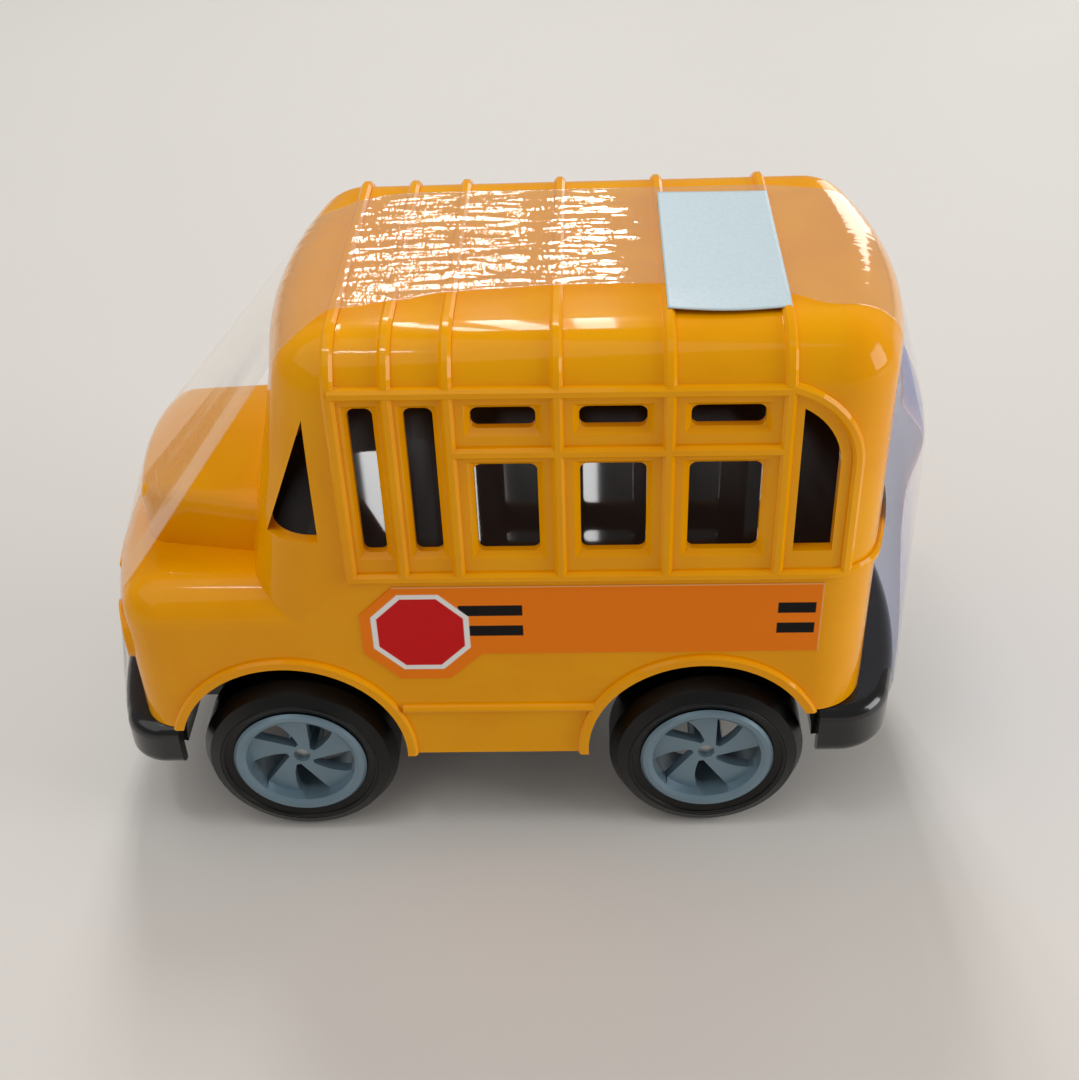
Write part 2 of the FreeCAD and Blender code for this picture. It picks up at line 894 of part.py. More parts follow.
bumpers = []
for end, reach, back, drop, hem, corner, forward in (
    (
        "front",
        "bumper_front",
        "front_bumper_back",
        "front_bumper_drop",
        "front_hem",
        "front_bumper_corner",
        True,
    ),
    (
        "rear",
        "bumper_rear",
        "rear_bumper_back",
        "rear_bumper_drop",
        "rear_hem",
        "rear_bumper_corner",
        False,
    ),
):
    low = "sill_height - %s" % drop
    high = "%s - hem_gap" % hem
    name = end + "_bumper"
    square = bumper(name + "_square", "0", reach, back, low, high, corner, forward)
    beyond = (value(reach) + abs(value(back))) / 2
    outer = rounded(
        name + "_outer",
        square,
        "bumper_round",
        lambda edge: not is_upright(edge) and abs(edge.CenterOfMass.x) > beyond,
    )
    inner = bumper(
        name + "_inner",
        "bumper_round",
        reach,
        back,
        "%s - overrun" % low,
        "%s - base_wall" % high,
        corner,
        forward,
    )
    bumpers.append(without(name, outer, inner))

saddles = []
bores = []
for end, across in (("front", "front_axle"), ("rear", "rear_axle")):
    for side, low, high in (
        ("left", "well_inner - saddle_width", "well_inner"),
        ("right", "-well_inner", "-(well_inner - saddle_width)"),
    ):
        saddles.append(
            block(
                "%s_%s_saddle" % (end, side),
                ("%s - saddle_width" % across, "%s + saddle_width" % across),
                (low, high),
                ("saddle_low", "deck_height - base_wall"),
            )
        )
    bores.append(
        cross_rod(
            end + "_bore",
            "axle_radius + axle_play",
            "well_inner + base_wall",
            across,
            "tyre_radius",
        )
    )
chassis_base = without(
    "chassis_base",
    joined("base_whole", [base_body] + bumpers + saddles),
    joined("bores", bores),
)

kept = {"body_shell": body_shell, "chassis_base": chassis_base}


# Wheels
def spun(name, corners, x, side):
    """A body turned from an outline about the wheel's axis, its face out to one side."""
    body = doc.addObject("PartDesign::Body", name)
    turned = body.newObject("PartDesign::Revolution", name + "_turned")
    turned.Profile = outline(body, name + "_outline", "XZ_Plane", corners)
    turned.ReferenceAxis = (role_plane(body, "Z_Axis"), [""])
    turned.Angle = 360
    turn(body, X_AXIS, -90 if side == "left" else 90)
    put(body, x, "%swheel_face" % ("" if side == "left" else "-"), "tyre_radius")
    return body


def tyre(name, x, side):
    """A tyre with full sidewalls and round shoulders."""
    return spun(
        name,
        [
            ("seat_radius", "tyre_bead - tyre_width"),
            ("rim_radius + tyre_shoulder", "-tyre_width"),
            ("tyre_radius - tyre_crown", "tyre_bead - tyre_width"),
            ("tyre_radius", "tyre_shoulder + tyre_bead - tyre_width"),
            ("tyre_radius", "-tyre_shoulder - tyre_bead"),
            ("tyre_radius - tyre_crown", "-tyre_bead"),
            ("rim_radius + tyre_shoulder", "0"),
            ("seat_radius", "-tyre_bead"),
        ],
        x,
        side,
    )


# Corners of a gap between two spokes, as shares of the rim's radius, with the side's bulge
GAP_SHARES = [
    (0.038, 0.184, None),
    (-0.356, 0.736, -0.815),
    (-0.032, 0.815, -0.14),
    (0.127, 0.720, -0.9),
    (0.105, 0.199, None),
]


def hub(name, x, side):
    """A dished hub with five swept spokes."""
    back = "-dish_depth - spoke_thick"
    body = spun(
        name,
        [
            ("axle_radius", "%s - boss_length" % back),
            ("boss_radius", "%s - boss_length" % back),
            ("boss_radius", back),
            ("barrel_radius", back),
            ("barrel_radius", "tyre_bead + rim_lip - tyre_width"),
            ("seat_radius", "tyre_bead + rim_lip - tyre_width"),
            ("seat_radius", "-tyre_bead"),
            ("rim_radius", "-rim_lip"),
            ("rim_radius - rim_lip", "0"),
            ("barrel_radius + rim_lip / 2", "0"),
            ("barrel_radius - rim_lip", "-rim_lip"),
            ("barrel_radius - tyre_bead", "-dish_depth"),
            ("axle_radius", "-dish_depth"),
        ],
        x,
        side,
    )
    corners = []
    for across, up, bulge in GAP_SHARES:
        corner = ("rim_radius * %s" % across, "rim_radius * %s" % up)
        corners.append(corner + ("rim_radius * %s" % bulge,) if bulge else corner)
    gap = body.newObject("PartDesign::Pocket", name + "_gap")
    gap.Profile = outline(body, name + "_gap_outline", "XY_Plane", corners)
    gap.Type = "ThroughAll"
    gap.Midplane = True
    around = body.newObject("PartDesign::PolarPattern", name + "_gaps")
    around.Originals = [gap]
    around.Axis = (role_plane(body, "Z_Axis"), [""])
    around.Angle = 360
    around.Occurrences = 5
    body.Tip = around
    return body


for end, across in (("front", "front_axle"), ("rear", "rear_axle")):
    kept["axle_" + end] = cross_rod(
        "axle_" + end,
        "axle_radius",
        "wheel_face - dish_depth - spoke_thick / 2",
        across,
        "tyre_radius",
    )
    for side in ("left", "right"):
        kept["tyre_%s_%s" % (end, side)] = tyre("tyre_%s_%s" % (end, side), across, side)
        kept["hub_%s_%s" % (end, side)] = hub("hub_%s_%s" % (end, side), across, side)

# Side sticker, a thin strip with an eight-sided end
flat = "octagon_half * tan(22.5 deg)"
kept["sticker_left"] = padded(
    "sticker_left",
    "XZ_Plane",
    [
        ("sticker_rear", "sticker_low"),
        ("octagon_x - octagon_half", "sticker_low"),
        ("octagon_x - %s" % flat, "octagon_z - octagon_half"),
        ("octagon_x + %s" % flat, "octagon_z - octagon_half"),
        ("octagon_x + octagon_half", "octagon_z - %s" % flat),
        ("octagon_x + octagon_half", "octagon_z + %s" % flat),
        ("octagon_x + %s" % flat, "sticker_high"),
        ("sticker_rear", "sticker_high"),
    ],
    "sticker_thick",
    "-shell_half - sticker_thick - sticker_gap",
)

def rib_crest(place):
    """The height of the film over a rib, on the sloping roof."""
    slope = "roof_slope * (body_front - %s) / (body_front + body_rear + overrun)" % place
    return "roof_height + %s + rib_proud + film_gap" % slope


# Label stuck on the film, over the roof's ribs
label_low = "%s + film_thick + label_gap" % rib_crest("rib_six")
kept["roof_label"] = block(
    "roof_label",
    ("label_rear", "label_front"),
    ("-label_far", "label_near"),
    (label_low, "%s + sticker_thick" % label_low),
)


def behind(height, gap):
    """A place behind the cabin, that far inside the film's straight run down to the bumper."""
    return ("film_rear - (rear_shoulder - %s) * film_lean + %s" % (height, gap), height)


# Paper tag, held behind the cabin by the film
kept["rear_tag"] = padded(
    "rear_tag",
    "XZ_Plane",
    [
        behind("tag_low", "tag_gap"),
        behind("tag_low", "(tag_gap + tag_thick)"),
        behind("tag_top", "(tag_gap + tag_thick)"),
        behind("tag_top", "tag_gap"),
    ],
    "2 * tag_half",
    midplane=True,
)


# Clear film, one strip drawn tight from bumper to bumper over the nose and the roof
film_line = outline(
    doc.addObject("PartDesign::Body", "film_path"),
    "film_line",
    "XZ_Plane",
    [
        ("bumper_front + film_gap", "sill_height - front_bumper_drop + bumper_round"),
        ("bumper_front + film_gap", "front_hem - hem_gap - bumper_round"),
        ("body_front + rib_proud + film_gap", "fender_top - fender_radius"),
        ("nose_front", "hood_crown - hood_radius / 2"),
        ("roof_front + rib_width", "roof_height - rib_width"),
        ("roof_front - rib_width", "roof_height + rib_proud"),
        ("rib_one + rib_width / 2", rib_crest("rib_one")),
        ("rib_six - rib_width / 2", rib_crest("rib_six")),
        ("-body_rear + roof_radius", "roof_end + film_gap", "roof_radius + film_gap"),
        ("film_rear", "rear_shoulder"),
        ("-bumper_rear - film_gap", "film_foot"),
        ("-bumper_rear - film_gap", "sill_height - rear_bumper_drop + bumper_round"),
    ],
    closed=False,
)
film_face = doc.addObject("Part::Extrusion", "film_face")
film_face.Base = film_line
film_face.Dir = Y_AXIS
bind(film_face, LengthFwd="film_half", LengthRev="film_half")
film_band = doc.addObject("Part::Offset", "film_band")
film_band.Source = film_face
film_band.Fill = True
film_band.Join = 2
bind(film_band, Value="film_thick")
kept["film_band"] = film_band

doc.recompute()
for thing in doc.Objects:
    if "Invalid" in thing.State or "Error" in thing.State:
        raise RuntimeError("%s did not build: %s" % (thing.Name, thing.State))
for label, thing in kept.items():
    thing.Label = label
    shape = thing.Shape
    if shape.isNull() or not shape.isValid() or not shape.Solids:
        raise RuntimeError("%s has no valid shape" % label)

os.makedirs("parts", exist_ok=True)
for label, thing in kept.items():
    thing.Shape.exportStep("parts/%s.step" % label)
    print(label, len(thing.Shape.Solids), round(thing.Shape.Volume, 1))
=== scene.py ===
import math

import bmesh
import bpy
from bpy.props import FloatProperty, FloatVectorProperty, PointerProperty
from bpy.types import Operator, Panel, PropertyGroup
from mathutils import Matrix, Vector, noise
from mathutils.bvhtree import BVHTree


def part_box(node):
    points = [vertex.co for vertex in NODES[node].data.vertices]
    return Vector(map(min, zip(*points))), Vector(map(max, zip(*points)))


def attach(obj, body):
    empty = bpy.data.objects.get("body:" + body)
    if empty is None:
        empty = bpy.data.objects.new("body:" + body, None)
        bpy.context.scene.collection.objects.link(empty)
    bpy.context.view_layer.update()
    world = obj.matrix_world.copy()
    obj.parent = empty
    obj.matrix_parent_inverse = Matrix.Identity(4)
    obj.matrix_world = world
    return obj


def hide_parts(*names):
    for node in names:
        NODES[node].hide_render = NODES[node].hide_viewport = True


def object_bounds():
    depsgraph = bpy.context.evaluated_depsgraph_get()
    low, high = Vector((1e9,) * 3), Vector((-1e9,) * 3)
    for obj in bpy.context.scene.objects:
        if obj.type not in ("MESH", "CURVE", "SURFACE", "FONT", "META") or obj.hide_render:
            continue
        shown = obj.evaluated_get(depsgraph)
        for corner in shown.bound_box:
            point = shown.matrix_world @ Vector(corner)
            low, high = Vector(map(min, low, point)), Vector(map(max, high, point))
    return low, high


bl_info = {
    "name": "Toy School Bus Dressing",
    "version": (1, 0, 0),
    "blender": (4, 5, 0),
    "location": "View3D > Sidebar > Toy Bus",
    "description": "Gives a moulded toy bus its plastics, print, paper slips and clear film",
    "category": "Object",
}

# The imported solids, and the box that they fill
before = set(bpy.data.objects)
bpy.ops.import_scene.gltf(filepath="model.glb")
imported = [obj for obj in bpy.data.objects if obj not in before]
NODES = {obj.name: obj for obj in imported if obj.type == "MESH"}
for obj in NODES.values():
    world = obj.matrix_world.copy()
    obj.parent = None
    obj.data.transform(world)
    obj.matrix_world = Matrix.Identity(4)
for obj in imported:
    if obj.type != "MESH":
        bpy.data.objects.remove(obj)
SOLID_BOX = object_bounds()
MM = 0.001

# Low and high corners of some solids: X is forward, Y to the bus's left and Z up
SHELL_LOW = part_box("body_shell")[0]
BASE_LOW, BASE_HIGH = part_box("chassis_base")
LABEL_LOW, LABEL_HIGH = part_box("roof_label")
STICKER_LOW, STICKER_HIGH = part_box("sticker_left")


def linear(code):
    """The linear red, green and blue of an sRGB hex colour."""
    shares = [int(code[i : i + 2], 16) / 255 for i in (1, 3, 5)]
    return tuple(c / 12.92 if c <= 0.04045 else ((c + 0.055) / 1.055) ** 2.4 for c in shares)


def colour_prop(name, code, description):
    """A colour that a user may change."""
    return FloatVectorProperty(
        name=name,
        description=description,
        subtype="COLOR",
        size=3,
        min=0,
        max=1,
        default=linear(code),
    )


def length_prop(name, millimetres, description):
    """A length that a user may change."""
    return FloatProperty(
        name=name,
        description=description,
        subtype="DISTANCE",
        unit="LENGTH",
        default=millimetres * MM,
    )


def brightness_prop(name, brightness, description):
    """The brightness of a lamp or of the surround, which a user may change."""
    return FloatProperty(name=name, description=description, default=brightness, min=0)


class BusColours(PropertyGroup):
    """Colours of the plastics, the print and the paper."""

    yellow: colour_prop("Body yellow", "#F7A900", "Moulded body at its middle tone")
    amber: colour_prop("Body amber", "#F2A000", "Moulded body where the plastic flowed last")
    black: colour_prop("Base black", "#060708", "Base and bumpers")
    tyre: colour_prop("Tyre black", "#050506", "Soft tyre plastic")
    silver: colour_prop("Hub silver", "#79919F", "Hubs")
    steel: colour_prop("Axle steel", "#B4B6B8", "Axle wire")
    orange: colour_prop("Print orange", "#F88000", "Ground colour of the side sticker")
    # A painted highlight: a paler colour along the sticker's top and rear cut edges, where they
    # catch the light
    edge_highlight: colour_prop("Cut edge", "#F2B870", "Bright cut edge of the sticker")
    red: colour_prop("Sign red", "#D40C12", "Eight-sided sign")
    white: colour_prop("Sign white", "#F2F0EC", "Border of the sign")
    ink: colour_prop("Stripe black", "#040404", "Stripes of the sticker")
    label: colour_prop("Label paper", "#C8DAE0", "Paper label on the roof")
    slip: colour_prop("Slip paper", "#AEB9FF", "Paper slip behind the cabin")
    film: colour_prop("Film", "#FFF8EC", "Haze and glint of the clear film")
    floor: colour_prop("Floor", "#DDD9D3", "Plain studio floor")
    surround: colour_prop("Surround", "#F3F1EF", "Pale surround of the studio")


class PrintSizes(PropertyGroup):
    """Places and sizes of what is printed on the side sticker."""

    sign_x: length_prop("Sign centre, forward", 8.66, "Centre of the eight-sided sign")
    sign_z: length_prop("Sign centre, up", 32.7, "Centre of the eight-sided sign")
    sign_half: length_prop("Sign half width", 5.45, "Half the width of the sign over its border")
    sign_border: length_prop("Sign border", 0.62, "Width of the white border")
    stripe_tall: length_prop("Stripe height", 1.5, "Height of one stripe")
    stripe_high: length_prop("Upper stripe", 35.8, "Middle of the upper stripe")
    stripe_low: length_prop("Lower stripe", 32.9, "Middle of the lower stripe")
    front_from: length_prop("Front stripes, start", 4.3, "Front end of the stripes by the sign")
    front_to: length_prop("Front stripes, end", -2.8, "Rear end of the stripes by the sign")
    rear_from: length_prop("Rear stripes, start", -31.0, "Front end of the rear stripes")
    rear_to: length_prop("Rear stripes, end", -35.2, "Rear end of the rear stripes")
    # Width of the painted highlight along the sticker's top and rear cut edges
    edge_highlight_width: length_prop("Cut edge", 0.12, "Width of the sticker's bright cut edge")
    edge: length_prop("Ink edge", 0.05, "Softness of a printed edge")


class FilmSizes(PropertyGroup):
    """Sizes of the clear film and of its creases."""

    thickness: length_prop("Film thickness", 0.05, "Gauge of the film")
    lift: length_prop("Film lift", 0.1, "Clearance of the film from the ribs it lies on")
    pleat: length_prop("Pleat height", 0.16, "Height of the fine lengthwise pleats")
    pleat_pitch: length_prop("Pleat pitch", 1.5, "Spacing of the modelled pleats across the film")
    pucker: length_prop("Pucker height", 0.12, "Height of the short puckers between ribs")


class PaperSizes(PropertyGroup):
    """Sizes of the paper label and the paper slip."""

    thickness: length_prop("Paper thickness", 0.11, "Thickness of the paper")
    label_curl: length_prop("Label curl", 0.3, "Drop of the label's near edge over the shoulder")
    label_drape: length_prop("Label drape", 4.5, "Width of the label's near edge that bends down")
    label_sag: length_prop("Label sag", 0.03, "Sag of the label between its two ribs")


class StageSizes(PropertyGroup):
    """Size of the floor and brightness of the studio."""

    floor: length_prop("Floor width", 6000, "Width of the studio floor")
    sky: brightness_prop("Surround", 0.32, "Brightness of the pale surround")
    windows: brightness_prop("Windows", 20.0, "Brightness of the window lamps")
    fill: brightness_prop("Soft box", 0.9, "Brightness of the soft box")


class ToyBusSettings(PropertyGroup):
    """Everything that a user may change."""

    colours: PointerProperty(type=BusColours)
    print_sizes: PointerProperty(type=PrintSizes)
    film_sizes: PointerProperty(type=FilmSizes)
    paper_sizes: PointerProperty(type=PaperSizes)
    stage_sizes: PointerProperty(type=StageSizes)


def settings(context):
    """What the user has chosen in the scene."""
    return context.scene.toy_bus


# Materials
def add(tree, kind, inputs=None, **settings_of_node):
    """Adds a node to a tree, with its settings, and with a value or a link for each input.

    The setting called stops is for a colour ramp, and holds its (position, colour) rows.
    """
    made = tree.nodes.new(kind)
    for name, value in settings_of_node.items():
        if name == "stops":
            set_stops(made.color_ramp, value)
        else:
            setattr(made, name, value)
    for name, value in (inputs or {}).items():
        if isinstance(value, bpy.types.NodeSocket):
            tree.links.new(value, made.inputs[name])
        else:
            made.inputs[name].default_value = value
    return made


def set_stops(colour_ramp, stops):
    """Gives a new colour ramp its two or more (position, colour) rows."""
    elements = colour_ramp.elements
    first, *middle, last = stops
    for element, (position, colour) in ((elements[0], first), (elements[1], last)):
        element.position = position
        element.color = opaque(colour)
    for position, colour in middle:
        elements.new(position).color = opaque(colour)


def opaque(colour):
    """A colour with its alpha, as a socket holds it."""
    return (*colour, 1.0)


def darker(colour, share):
    """A colour at a share of its brightness."""
    return tuple(share * c for c in colour)


def per_metre(millimetres):
    """The scale of a pattern whose features are that far apart."""
    return 1 / (millimetres * MM)


def new_material(name):
    """An empty material, its tree, and the object coordinates that its patterns read."""
    material = bpy.data.materials.new(name)
    material.use_nodes = True
    tree = material.node_tree
    tree.nodes.clear()
    place = add(tree, "ShaderNodeTexCoord").outputs["Object"]
    return material, tree, place


def finish_material(tree, shader):
    """Joins a shader to the material's output."""
    add(tree, "ShaderNodeOutputMaterial", {"Surface": shader})


def wear(node_name, material):
    """Gives a CAD node one material in place of its own."""
    mesh = NODES[node_name].data
    mesh.materials.clear()
    mesh.materials.append(material)


# A plastic's flow marks are this many millimetres apart, and its sink waves this many grains
FLOW_MARKS = 14.0
SINK_GRAINS = 16
SINK_DEPTH, GRAIN_DEPTH = 0.1 * MM, 0.012 * MM
# Roughness of a plastic's upper part where that is left matt, and the height of the blend
MATT_ROUGHNESS, MATT_BLEND = 0.7, 2 * MM


def moulded_plastic(name, shades, grain, rough, coat, gloss=0.5, metallic=0.0, matt_above=None):
    """An injection-moulded plastic: flow marks in its tone, and a grain left by the mould."""
    material, tree, place = new_material(name)
    flow_marks = add(
        tree,
        "ShaderNodeTexNoise",
        {"Vector": place, "Scale": per_metre(FLOW_MARKS), "Detail": 3.0, "Distortion": 0.6},
    )
    tone = add(
        tree,
        "ShaderNodeValToRGB",
        {"Fac": flow_marks.outputs["Fac"]},
        stops=((0.35, shades[0]), (0.65, shades[1])),
    )
    mould_grain = add(
        tree, "ShaderNodeTexNoise", {"Vector": place, "Scale": per_metre(grain), "Detail": 4.0}
    )
    sink = add(
        tree,
        "ShaderNodeTexNoise",
        {"Vector": place, "Scale": per_metre(grain * SINK_GRAINS), "Detail": 1.0},
    )
    roughness = add(
        tree,
        "ShaderNodeMapRange",
        {
            "Value": mould_grain.outputs["Fac"],
            "From Min": 0.3,
            "From Max": 0.7,
            "To Min": rough[0],
            "To Max": rough[1],
        },
    ).outputs["Result"]
    if matt_above is not None:
        axes = add(tree, "ShaderNodeSeparateXYZ", {"Vector": place})
        matt = add(
            tree,
            "ShaderNodeMapRange",
            {
                "Value": axes.outputs["Z"],
                "From Min": matt_above,
                "From Max": matt_above + MATT_BLEND,
                "To Max": MATT_ROUGHNESS,
            },
        )
        roughness = add(
            tree, "ShaderNodeMath", {0: roughness, 1: matt.outputs["Result"]}, operation="MAXIMUM"
        ).outputs["Value"]
    waves = add(
        tree,
        "ShaderNodeBump",
        {"Height": sink.outputs["Fac"], "Strength": 0.1, "Distance": SINK_DEPTH},
    )
    fine = add(
        tree,
        "ShaderNodeBump",
        {
            "Height": mould_grain.outputs["Fac"],
            "Strength": 0.05,
            "Distance": GRAIN_DEPTH,
            "Normal": waves.outputs["Normal"],
        },
    )
    shader = add(
        tree,
        "ShaderNodeBsdfPrincipled",
        {
            "Base Color": tone.outputs["Color"],
            "Roughness": roughness,
            "Normal": fine.outputs["Normal"],
            "Metallic": metallic,
            "Specular IOR Level": gloss,
            "Coat Weight": coat,
            "Coat Roughness": 0.04,
        },
    )
    finish_material(tree, shader.outputs["BSDF"])
    return material


class TOYBUS_OT_body(Operator):
    """Gives the moulded body its glossy yellow plastic"""

    bl_idname = "toybus.body"
    bl_label = "Yellow body"

    def execute(self, context):
        colours = settings(context).colours
        # High-impact polystyrene from a polished mould: even, saturated, with sharp reflections
        yellow = moulded_plastic(
            "yellow polystyrene, moulded",
            (colours.amber, colours.yellow),
            grain=0.35,
            rough=(0.11, 0.16),
            coat=0.34,
            gloss=0.04,
        )
        wear("body_shell", yellow)
        return {"FINISHED"}


class TOYBUS_OT_base(Operator):
    """Gives the base and bumpers their black plastic"""

    bl_idname = "toybus.base"
    bl_label = "Black base"

    def execute(self, context):
        colours = settings(context).colours
        # Polypropylene from a spark-eroded mould: black, with a soft sheen, and matt in the cabin
        black = moulded_plastic(
            "black polypropylene, moulded",
            (colours.black, colours.tyre),
            grain=0.3,
            rough=(0.16, 0.22),
            coat=0.4,
            gloss=0.4,
            matt_above=24 * MM,
        )
        wear("chassis_base", black)
        return {"FINISHED"}


class TOYBUS_OT_wheels(Operator):
    """Gives the axles, hubs and tyres their finishes"""

    bl_idname = "toybus.wheels"
    bl_label = "Wheels and axles"

    def execute(self, context):
        colours = settings(context).colours
        # Silver-filled polystyrene: grey, with a satin metallic sheen
        silver = moulded_plastic(
            "silver grey polystyrene, moulded",
            (colours.silver, darker(colours.silver, 0.86)),
            grain=0.25,
            rough=(0.3, 0.42),
            coat=0.15,
            metallic=0.35,
        )
        # Soft vinyl: black, a little oily in its shine
        vinyl = moulded_plastic(
            "black vinyl, moulded",
            (colours.tyre, colours.black),
            grain=0.4,
            rough=(0.3, 0.4),
            coat=0.0,
            gloss=0.35,
        )
        steel = drawn_wire("steel wire, drawn", colours.steel)
        for node_name in sorted(NODES):
            if node_name.startswith("hub_"):
                wear(node_name, silver)
            if node_name.startswith("tyre_"):
                wear(node_name, vinyl)
                body = "front_wheels" if "front" in node_name else "rear_wheels"
                bead_ring(node_name, body, vinyl)
            if node_name.startswith("axle_"):
                wear(node_name, steel)
        return {"FINISHED"}


# The ring on a tyre's side: its radius, half its width, and how far it stands out for that
BEAD_RADIUS, BEAD_HALF, BEAD_PROUD = 9.2 * MM, 0.22 * MM, 0.9
BEAD_SIDES, BEAD_STEPS = 10, 96


def bead_ring(node_name, body, material):
    """The thin ring moulded on a tyre's side, just outside where it meets the hub."""
    low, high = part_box(node_name)
    middle = (low + high) / 2
    side = 1 if middle.y > 0 else -1
    beyond = Vector((middle.x, side, middle.z + BEAD_RADIUS))
    face = solid_tree(node_name).ray_cast(beyond, Vector((0, -side, 0)))[0].y
    shape = bmesh.new()
    bmesh.ops.create_circle(shape, segments=BEAD_SIDES, radius=BEAD_HALF)
    for vert in shape.verts:
        vert.co = Vector(
            (middle.x, face + vert.co.y * BEAD_PROUD, middle.z + BEAD_RADIUS + vert.co.x)
        )
    bmesh.ops.spin(
        shape,
        geom=shape.edges[:],
        cent=middle,
        axis=Vector((0, 1, 0)),
        angle=2 * math.pi,
        steps=BEAD_STEPS,
        use_merge=True,
    )
    return add_piece(node_name.replace("tyre", "bead"), shape, 0, material, body)


# Lines left by the die are this many millimetres apart, and this many times as long
DIE_LINES, DIE_LENGTHS = 0.2, 25


def drawn_wire(name, colour):
    """Bright wire with fine lines along its length, left by the die."""
    material, tree, place = new_material(name)
    along = add(
        tree, "ShaderNodeMapping", {"Vector": place, "Scale": (1.0, 1 / DIE_LENGTHS, 1.0)}
    )
    lines = add(
        tree,
        "ShaderNodeTexNoise",
        {"Vector": along.outputs["Vector"], "Scale": per_metre(DIE_LINES), "Detail": 2.0},
    )
    roughness = add(
        tree, "ShaderNodeMapRange", {"Value": lines.outputs["Fac"], "To Min": 0.22, "To Max": 0.45}
    )
    shader = add(
        tree,
        "ShaderNodeBsdfPrincipled",
        {
            "Base Color": opaque(colour),
            "Metallic": 1.0,
            "Roughness": roughness.outputs["Result"],
        },
    )
    finish_material(tree, shader.outputs["BSDF"])
    return material


class TOYBUS_OT_sticker(Operator):
    """Prints the side sticker: orange ground, blank red sign and black stripes"""

    bl_idname = "toybus.sticker"
    bl_label = "Side sticker"

    def execute(self, context):
        chosen = settings(context)
        vinyl = printed_vinyl("printed vinyl, gloss", chosen.colours, chosen.print_sizes)
        wear("sticker_left", vinyl)
        return {"FINISHED"}


# A Mix node's colour sockets share their names with its other sockets, so they go by number
MIX_BELOW, MIX_ABOVE, MIX_RESULT = 6, 7, 2
# The sticker's slow ripple: its features are this many millimetres apart, and this high
RIPPLE, RIPPLE_HEIGHT = 5.0, 0.1 * MM


def printed_vinyl(name, colours, sizes):
    """Vinyl with solid inks, and a painted highlight along its top and rear cut edges: each has a
    mask worked out from the distance to its edge.
    """
    material, tree, place = new_material(name)
    axes = add(tree, "ShaderNodeSeparateXYZ", {"Vector": place})

    def away(axis, centre):
        """The distance from a centre along one axis."""
        offset = add(
            tree, "ShaderNodeMath", {0: axes.outputs[axis], 1: centre}, operation="SUBTRACT"
        )
        distance = add(
            tree, "ShaderNodeMath", {0: offset.outputs["Value"]}, operation="ABSOLUTE"
        )
        return distance.outputs["Value"]

    def inside(distance, half):
        """1 where a distance is under half, 0 past it, with a soft printed edge between."""
        mask = add(
            tree,
            "ShaderNodeMapRange",
            {
                "Value": distance,
                "From Min": half - sizes.edge,
                "From Max": half + sizes.edge,
                "To Min": 1.0,
                "To Max": 0.0,
            },
        )
        return mask.outputs["Result"]

    def printed_over(below, ink, mask):
        """An ink over what is printed already, where its mask is 1."""
        mixed = add(
            tree,
            "ShaderNodeMix",
            {"Factor": mask, MIX_BELOW: below, MIX_ABOVE: opaque(ink)},
            data_type="RGBA",
        )
        return mixed.outputs[MIX_RESULT]

    across = away("X", sizes.sign_x)
    upward = away("Z", sizes.sign_z)
    square = add(tree, "ShaderNodeMath", {0: across, 1: upward}, operation="MAXIMUM")
    both = add(tree, "ShaderNodeMath", {0: across, 1: upward}, operation="ADD")
    slant = add(
        tree,
        "ShaderNodeMath",
        {0: both.outputs["Value"], 1: math.sqrt(0.5)},
        operation="MULTIPLY",
    )
    eight_sided = add(
        tree,
        "ShaderNodeMath",
        {0: square.outputs["Value"], 1: slant.outputs["Value"]},
        operation="MAXIMUM",
    )
    to_edge = eight_sided.outputs["Value"]
    printed = opaque(colours.orange)
    for start, end in ((sizes.front_from, sizes.front_to), (sizes.rear_from, sizes.rear_to)):
        along = inside(away("X", (start + end) / 2), (start - end) / 2)
        for middle in (sizes.stripe_high, sizes.stripe_low):
            tall = inside(away("Z", middle), sizes.stripe_tall / 2)
            stripe = add(tree, "ShaderNodeMath", {0: along, 1: tall}, operation="MULTIPLY")
            printed = printed_over(printed, colours.ink, stripe.outputs["Value"])
    # Distance in from the sticker's top and rear cut edges, along which a highlight is painted
    # where those edges catch the light
    below_top = add(
        tree, "ShaderNodeMath", {0: STICKER_HIGH.z, 1: axes.outputs["Z"]}, operation="SUBTRACT"
    )
    from_rear = add(
        tree, "ShaderNodeMath", {0: axes.outputs["X"], 1: STICKER_LOW.x}, operation="SUBTRACT"
    )
    cut = add(
        tree,
        "ShaderNodeMath",
        {0: below_top.outputs["Value"], 1: from_rear.outputs["Value"]},
        operation="MINIMUM",
    )
    # Over the ground and stripes go the painted highlight along the cut edges, then the sign's
    # white border and its red
    for distance, half, ink in (
        (cut.outputs["Value"], sizes.edge_highlight_width, colours.edge_highlight),
        (to_edge, sizes.sign_half, colours.white),
        (to_edge, sizes.sign_half - sizes.sign_border, colours.red),
    ):
        printed = printed_over(printed, ink, inside(distance, half))
    ripple = add(
        tree, "ShaderNodeTexNoise", {"Vector": place, "Scale": per_metre(RIPPLE), "Detail": 2.0}
    )
    bump = add(
        tree,
        "ShaderNodeBump",
        {"Height": ripple.outputs["Fac"], "Strength": 0.15, "Distance": RIPPLE_HEIGHT},
    )
    shader = add(
        tree,
        "ShaderNodeBsdfPrincipled",
        {
            "Base Color": printed,
            "Roughness": 0.2,
            "Specular IOR Level": 0.18,
            "Normal": bump.outputs["Normal"],
        },
    )
    finish_material(tree, shader.outputs["BSDF"])
    return material


# Paper fibres are drawn this many millimetres apart, coarser than they are, so that they show
FIBRES, FIBRE_HEIGHT = 0.5, 0.02 * MM
# How far light spreads inside paper
LIGHT_REACH = 2.0 * MM


